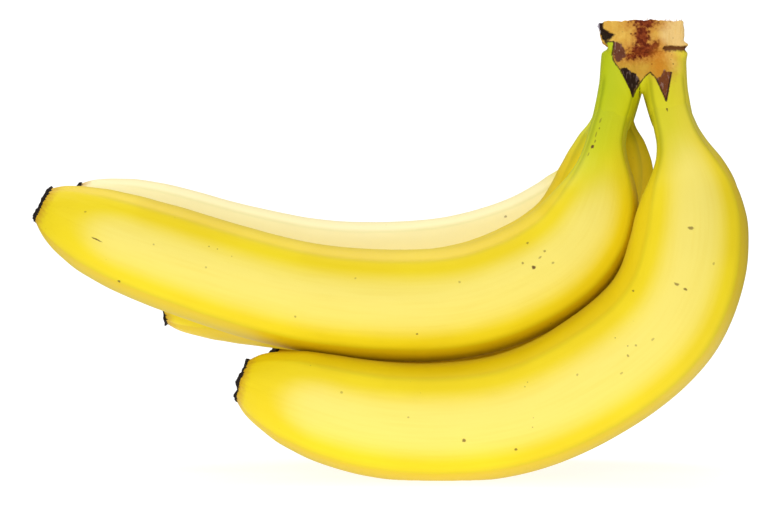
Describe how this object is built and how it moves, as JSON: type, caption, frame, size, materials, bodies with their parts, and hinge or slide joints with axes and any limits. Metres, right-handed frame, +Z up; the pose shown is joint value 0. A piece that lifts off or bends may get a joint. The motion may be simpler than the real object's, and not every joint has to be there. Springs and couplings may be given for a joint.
{
  "type": "bunch of bananas",
  "caption": "Bunch of ripe bananas joined at a cut crown, lying on the backs of its outer row, with green necks, soft ridges and blunt dark tips.",
  "frame": {"origin": "under the middle of the bunch's bounding box, on the surface it lies on", "axes": "+Z up; +X along the bunch from the tips towards the crown; +Y from the front pair of fingers to the back pair"},
  "size_m": [0.2336, 0.1146, 0.1465],
  "materials": {
    "banana_peel": "ripe banana peel: waxy satin yellow, greener at the neck, dry and almost black at the tip",
    "crown_cut": "cut banana crown: rough, fibrous and dry, tan with reddish brown bruises"
  },
  "bodies": {
    "root": {"crown": "crown_cut", "banana_front_upper": "banana_peel", "banana_front_lower": "banana_peel", "banana_middle": "banana_peel", "banana_back_upper": "banana_peel", "banana_back_lower": "banana_peel"}
  },
  "joints": []
}
